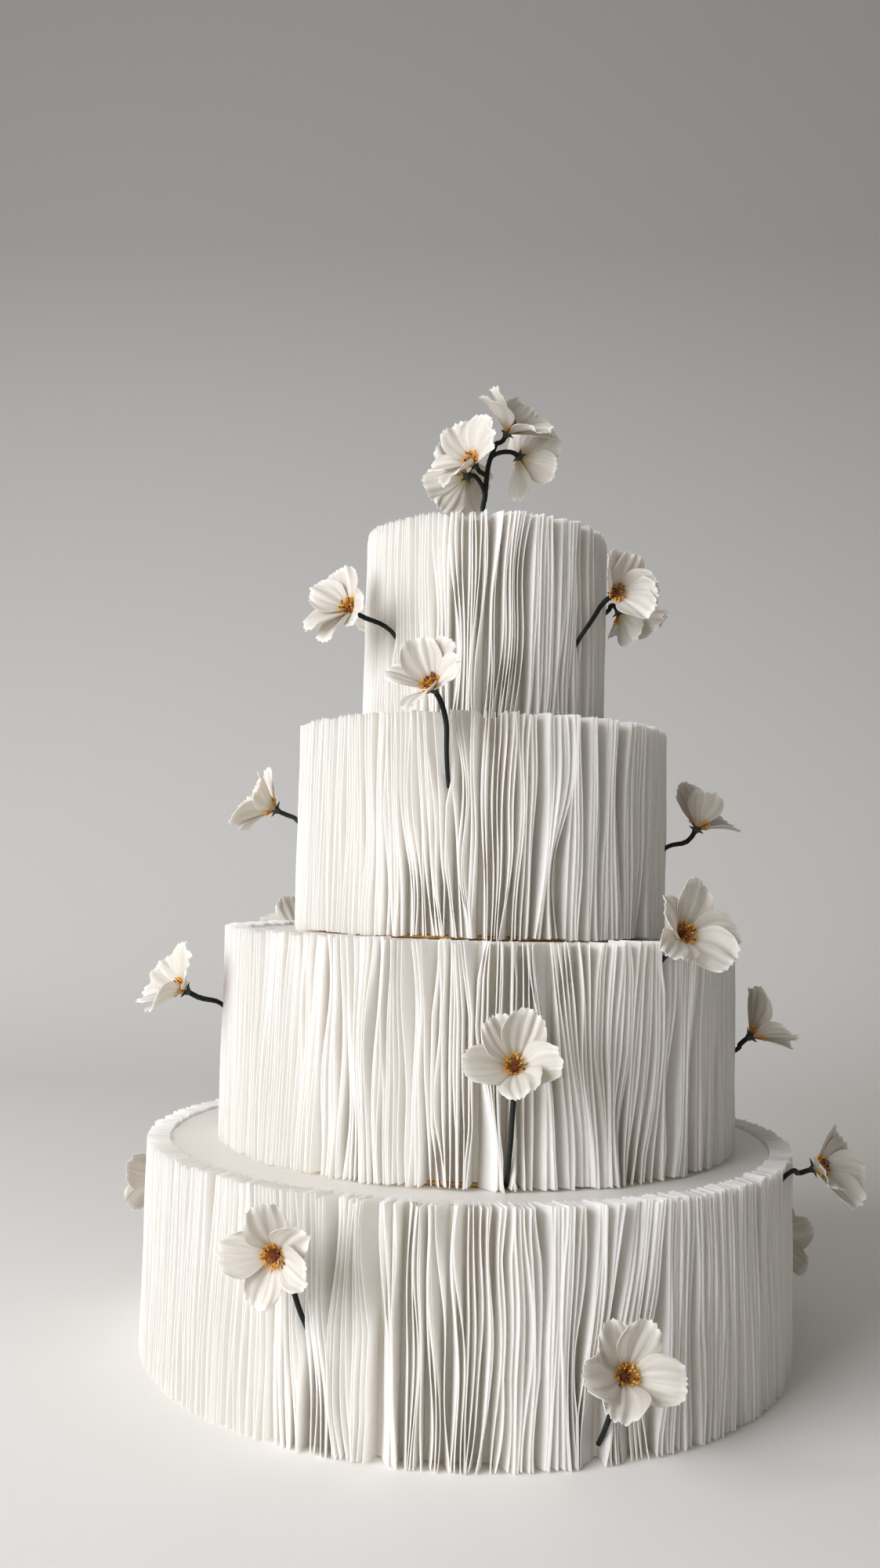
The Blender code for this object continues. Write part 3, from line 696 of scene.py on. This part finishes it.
def stamens(build, root, axis, draw):
    """A tuft of fine stalks with seed-shaped tips round a dark red-brown button."""
    frame_of = axis.to_track_quat("Z", "Y").to_matrix()
    build.turned(root, axis, [(r * MM, h * MM) for r, h in BUTTON], 10, 1)
    for number in range(STAMENS):
        share = (number + 0.5) / STAMENS
        turn = number * GOLDEN_TURN + draw.uniform(-0.3, 0.3)
        tilt = math.radians(TILT_LEAST + TILT_MORE * math.sqrt(share) + draw.uniform(-8.0, 8.0))
        length = (STALK_LENGTH - STALK_SHORTER * share + draw.uniform(-1.3, 1.0)) * MM
        out_way = Vector((math.cos(turn), math.sin(turn), 0.0))
        way = frame_of @ (out_way * math.sin(tilt) + Vector((0.0, 0.0, math.cos(tilt))))
        base = root + frame_of @ (out_way * TUFT_RADIUS * MM * math.sqrt(share))
        stalk = [(STALK_RADII[0] * MM, 0.0), (STALK_RADII[1] * MM, length)]
        build.turned(base, way, stalk, 3, 2)
        sway = Vector((draw.uniform(-0.5, 0.5), draw.uniform(-0.5, 0.5), 0.0))
        nod = (way + frame_of @ sway).normalized()
        build.turned(base + way * length, nod, [(r * MM, h * MM) for r, h in ANTHER], 5,
                     3 if share > draw.uniform(-0.2, 0.5) else 1)


def sepals(build, root, axis, opening, draw):
    """The calyx cup and its small pointed sepals, wound in dark tape."""
    build.turned(root, axis, [(r * MM, h * MM) for r, h in reversed(CALYX)], 12, 4)
    frame_of = axis.to_track_quat("Z", "Y").to_matrix()
    for number in range(PETALS):
        turn = math.tau * (number + 0.5) / PETALS + draw.uniform(-0.3, 0.3)
        lean = opening + math.radians(draw.uniform(12.0, 34.0))
        out_way = frame_of @ Vector((math.cos(turn), math.sin(turn), 0.0))
        way = (out_way * math.sin(lean) + axis * math.cos(lean)).normalized()
        side = way.cross(axis).normalized()
        start = root + out_way * 1.9 * MM - axis * 0.9 * MM
        length = draw.uniform(*SEPAL_LENGTHS) * MM
        sepal = [(r * MM, length * share) for r, share in zip(SEPAL_RADII, (0.0, 0.4, 1.0))]
        build.turned(start, way, sepal, 4, 4)


# Wafer paper pressed in a veiner: matt cream, with painted shade as darker streaks in the hollows between
# the raised veins, yellow-green in the throat and painted paler at the rim as a painted highlight, and it
# glows where light comes through. Real veins are less than 1 mm apart, and are drawn coarser so that they
# show.
wafer_petal, tree, out = new_material("cream_wafer_petal")
vein_place = add_node(tree, "ShaderNodeUVMap", uv_map="veins")
vein_split = add_node(tree, "ShaderNodeSeparateXYZ", in0=(vein_place, "UV"))
vein_spread = add_node(tree, "ShaderNodeMapping", Vector=(vein_place, "UV"),
                       Scale=(PETAL_WIDTH / 2 / VEIN_SPACING, PETAL_LENGTH / VEIN_LENGTH, 1.0))
vein_streak = add_node(tree, "ShaderNodeTexNoise", Vector=(vein_spread, "Vector"), Scale=1.0, Detail=3.0,
                       Roughness=0.6)
# Painted shade: where the vein bump is low, in its hollows, the petal is coloured darker.
vein_shade_share = add_node(tree, "ShaderNodeMapRange", Value=(vein_streak, "Fac"), From_Min=0.32, From_Max=0.62)
vein_shaded_tone = add_node(tree, "ShaderNodeMix", data_type="RGBA", in0=(vein_shade_share, "Result"),
                     in6=linear("#DBD4C9"), in7=linear("#EAE5DC"))
throat = add_node(tree, "ShaderNodeMapRange", Value=(vein_split, "Y"), From_Min=0.03, From_Max=0.34)
throat_tone = add_node(tree, "ShaderNodeMix", data_type="RGBA", in0=(throat, "Result"),
                       in6=linear("#CBBB88"), in7=(vein_shaded_tone, 2))
# Painted highlight: the petal's outer rim is coloured paler, as if it caught the light.
rim_painted_light = add_node(tree, "ShaderNodeMapRange", Value=(vein_split, "Y"), From_Min=0.86, From_Max=1.0)
petal_tone = add_node(tree, "ShaderNodeMix", data_type="RGBA", in0=(rim_painted_light, "Result"),
                      in6=(throat_tone, 2), in7=linear("#F3F0EA"))
petal_bump = add_node(tree, "ShaderNodeBump", Strength=0.5, Distance=0.35 * MM, Height=(vein_streak, "Fac"))
petal_face = add_node(tree, "ShaderNodeBsdfPrincipled", Base_Color=(petal_tone, 2), Roughness=0.6,
                      Normal=(petal_bump, "Normal"), IOR=1.4)
petal_glow = add_node(tree, "ShaderNodeBsdfTranslucent", Color=(petal_tone, 2))
petal_shader = add_node(tree, "ShaderNodeMixShader", in0=0.45, in1=(petal_face, 0), in2=(petal_glow, 0))
tree.links.new(petal_shader.outputs[0], out.inputs[0])


def sugar(name, dark, light, roughness):
    """Matt and mottled, with a grainy skin. Its real grain is under 0.3 mm, and is drawn coarser."""
    made, tree, out = new_material(name)
    place = add_node(tree, "ShaderNodeTexCoord")
    speck = add_node(tree, "ShaderNodeTexNoise", Vector=(place, "Object"), Scale=1.0 / SUGAR_GRAIN,
                     Detail=2.0)
    tone = add_node(tree, "ShaderNodeMix", data_type="RGBA", in0=(speck, "Fac"),
                    in6=linear(dark), in7=linear(light))
    grain = add_node(tree, "ShaderNodeBump", Strength=0.3, Distance=0.1 * MM, Height=(speck, "Fac"))
    shader = add_node(tree, "ShaderNodeBsdfPrincipled", Base_Color=(tone, 2), Roughness=roughness,
                      Normal=(grain, "Normal"))
    tree.links.new(shader.outputs[0], out.inputs[0])
    return made


# Coloured sugar, dusted: a dark red-brown button that sinks back, orange stalks, and brighter
# anthers that catch the light. Crepe tape round the calyx: dull, dark and a little brown.
stamen_button = sugar("red_brown_pollen", "#3A1608", "#7A3A12", 0.7)
stamen_stalk = sugar("orange_stamen_stalk", "#A55F16", "#D08A26", 0.6)
stamen_tip = sugar("yellow_orange_anther", "#D58A16", "#F4B232", 0.6)
sepal_tape = sugar("dark_calyx_tape", "#1F2420", "#3B3A30", 0.65)
flower_looks = [wafer_petal, stamen_button, stamen_stalk, stamen_tip, sepal_tape]

flower_ends = {}
cake_top = Vector((axis_x(1), 0.0, core_top(1)))
for name, (spot, face, lift, petals, size, joint) in TOP_FLOWERS.items():
    flower_ends[name] = (cake_top + Vector(spot) * MM, facing(face, lift), petals, size)
for name, (tier, angle, height, off, face, lift, petals, size, *foot) in SIDE_FLOWERS.items():
    reach = CORE_RADIUS[tier] + SHEET_DEPTH + off * MM
    flower_ends[name] = (around(tier, angle, reach, height * MM), facing(face, lift), petals, size)

for name, (root, axis, petals, size) in flower_ends.items():
    draw = random.Random(f"bloom_{name}")
    fine = random.Random(f"fine_{name}")
    upward = (straight_up - axis * straight_up.dot(axis)).normalized()
    rightward = upward.cross(axis)
    build = Build()
    for turn, opening in petals:
        angle = math.radians(turn + draw.uniform(-ANGLE_VARIETY, ANGLE_VARIETY))
        spread = upward * math.cos(angle) + rightward * math.sin(angle)
        scale = size * draw.uniform(1.0 - SIZE_VARIETY, 1.0 + SIZE_VARIETY)
        open_by = math.radians(opening + draw.uniform(-ANGLE_VARIETY, ANGLE_VARIETY))
        petal(build, root, axis, spread, PETAL_LENGTH * scale, PETAL_WIDTH * scale, open_by, fine)
    stamens(build, root, axis, fine)
    sepals(build, root, axis, math.radians(max(opening for turn, opening in petals)), fine)
    flower = build.piece(f"flower_{name}", flower_looks)
    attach(flower, "root")
    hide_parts(f"bloom_{name}")

# The stems: soft florist wire wound with near-black green paper tape, pushed in between the sheets.
# The tape overlaps in a slow spiral, so a stem is a little lumpy and thickens towards its flower.
STEM_RADIUS = 1.5 * MM
STEM_FOOT_RADIUS = 1.2 * MM
STEM_SINK = 5.0 * MM
STEM_DEEPER = 5.0 * MM
STEM_CLEAR = 2.2 * MM
STEM_OUT_BY = 0.3
STEM_SIDES = 10
STEM_LEAD = 0.4
FOOT_LENGTH = 2.0 * MM
FOOT_LIFT = 55.0
NECK_LENGTH = 2.5 * MM
CALYX_LENGTH = 3.4 * MM
ROUTE_STEPS = 16
PUSH_SMOOTHINGS = 10
MAIN_STEM_THICKER = 1.35
BRANCH_SINK = 2.0 * MM
TAPE_TURN = 3.2 * MM
TAPE_LUMP = 0.07
TAPE_GRAIN = 1.429 * MM
TAPE_BANDS = 3.4907 * MM

# The branched wire on top, in mm: the plane that it lies in, and (x, height) of its joints.
TOP_PLANE = -30.0
TOP_STEM = ((-2.0, 0.6), (-3.0, 16.0), (-2.0, 22.0), (-1.2, 34.0), (0.0, 43.5), (3.0, 53.0))


def route(start, lead, root, axis):
    """Close points on a curve that leaves a place along a lead and meets a calyx squarely."""
    foot = start + lead * FOOT_LENGTH
    end = root - axis * (CALYX_LENGTH - 0.6 * MM)
    neck = end - axis * NECK_LENGTH
    pull = (neck - foot).length * STEM_LEAD
    points = [start]
    for index in range(ROUTE_STEPS + 1):
        t = index / ROUTE_STEPS
        s = 1.0 - t
        points.append(foot * s ** 3 + (foot + lead * pull) * 3 * s * s * t
                      + (neck - axis * pull) * 3 * s * t * t + neck * t ** 3)
    return points + [end]


def clear_of_sheets(points, tier):
    """Moves a route's points gently out, so that it leaves the collar within its first part and
    then stays clear of the sheets' edges."""
    outer = CORE_RADIUS[tier] + SHEET_DEPTH
    ways = [Vector((point.x - axis_x(tier), point.y, 0.0)) for point in points]
    pushes = []
    for index, way in enumerate(ways):
        share = min(1.0, index / (len(points) - 1) / STEM_OUT_BY)
        pushes.append(max(0.0, outer - STEM_SINK + (STEM_SINK + STEM_CLEAR) * share - way.length))
    for _ in range(PUSH_SMOOTHINGS):
        inner = [(a + 2 * b + c) / 4 for a, b, c in zip(pushes, pushes[1:], pushes[2:])]
        pushes = [0.0] + inner + [0.0]
    return [point + way.normalized() * push for point, way, push in zip(points, ways, pushes)]


def taped_wire(build, points, thin, thick):
    """A tube along close points, with the tape's spiral as slow lumps."""
    count = len(points)
    side = None
    rings = []
    gone = 0.0
    for index, point in enumerate(points):
        after = points[min(index + 1, count - 1)]
        before = points[max(index - 1, 0)]
        way = (after - before).normalized()
        if side is None:
            side = way.orthogonal().normalized()
        side = (side - way * side.dot(way)).normalized()
        other = way.cross(side)
        if index:
            gone += (point - points[index - 1]).length
        radius = thin + (thick - thin) * min(1.0, 1.4 * index / (count - 1))
        ring = []
        for k in range(STEM_SIDES):
            turn = math.tau * k / STEM_SIDES
            lump = 1.0 + TAPE_LUMP * math.sin(turn + math.tau * gone / TAPE_TURN)
            ring.append(point + (side * math.cos(turn) + other * math.sin(turn)) * radius * lump)
        rings.append(ring)
    start = build.grid(rings, 0, closed=True)
    last = start + (count - 1) * STEM_SIDES
    build.face([start + k for k in reversed(range(STEM_SIDES))], 0)
    build.face([last + k for k in range(STEM_SIDES)], 0)


# Waxed crepe paper tape: nearly black with a green cast, dull with a weak sheen, in slight bands
# where its turns overlap. Its crepe of about 0.3 mm is drawn coarser so that it shows.
tape, tree, out = new_material("green_black_floral_tape")
place = add_node(tree, "ShaderNodeTexCoord")
crepe = add_node(tree, "ShaderNodeTexNoise", Vector=(place, "Object"), Scale=1.0 / TAPE_GRAIN, Detail=4.0)
bands = add_node(tree, "ShaderNodeTexWave", Vector=(place, "Object"), Scale=math.tau / 20 / TAPE_BANDS,
                 Distortion=6.0, Detail=2.0)
tone = add_node(tree, "ShaderNodeMix", data_type="RGBA", in0=(crepe, "Fac"),
                in6=linear("#0F120F"), in7=linear("#1F2420"))
bump = add_node(tree, "ShaderNodeBump", Strength=0.5, Distance=0.2 * MM, Height=(bands, "Fac"))
shader = add_node(tree, "ShaderNodeBsdfPrincipled", Base_Color=(tone, 2), Roughness=0.7,
                  Specular_IOR_Level=0.25, Normal=(bump, "Normal"))
tree.links.new(shader.outputs[0], out.inputs[0])


def closer(points, spacing=1.6 * MM):
    """Points on a smooth curve through a few given ones."""
    ends = [points[0] * 2 - points[1]] + list(points) + [points[-1] * 2 - points[-2]]
    made = []
    for a, b, c, d in zip(ends, ends[1:], ends[2:], ends[3:]):
        steps = max(2, round((c - b).length / spacing))
        for index in range(steps):
            t = index / steps
            made.append(0.5 * (2 * b + (c - a) * t + (2 * a - 5 * b + 4 * c - d) * t * t
                               + (3 * b - a - 3 * c + d) * t ** 3))
    return made + [points[-1]]


for name, (tier, *row, foot_angle, foot_height) in SIDE_FLOWERS.items():
    root, axis = flower_ends[name][:2]
    outer = CORE_RADIUS[tier] + SHEET_DEPTH
    lead = facing(foot_angle, FOOT_LIFT)
    start = around(tier, foot_angle, outer - STEM_SINK, foot_height * MM)
    build = Build()
    bends = clear_of_sheets(route(start, lead, root, axis), tier)
    taped_wire(build, [start - lead * STEM_DEEPER] + bends, STEM_FOOT_RADIUS, STEM_RADIUS)
    stem = build.piece(f"wire_stem_{name}", [tape])
    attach(stem, "root")
    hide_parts(f"stem_{name}")

main = [cake_top + Vector((x, TOP_PLANE, z)) * MM for x, z in TOP_STEM]
build = Build()
for name, (*row, joint) in TOP_FLOWERS.items():
    root, axis = flower_ends[name][:2]
    start = main[joint]
    if joint == len(main) - 1:
        tip = route(start, (start - main[-2]).normalized(), root, axis)
        taped_wire(build, closer(main[:-1] + [start]) + tip[2:],
                   MAIN_STEM_THICKER * STEM_FOOT_RADIUS, STEM_RADIUS)
    else:
        branch = route(start - straight_up * BRANCH_SINK, straight_up, root, axis)
        taped_wire(build, branch, STEM_FOOT_RADIUS, STEM_RADIUS)
stem = build.piece("wire_stem_top", [tape])
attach(stem, "root")
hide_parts("stem_top")
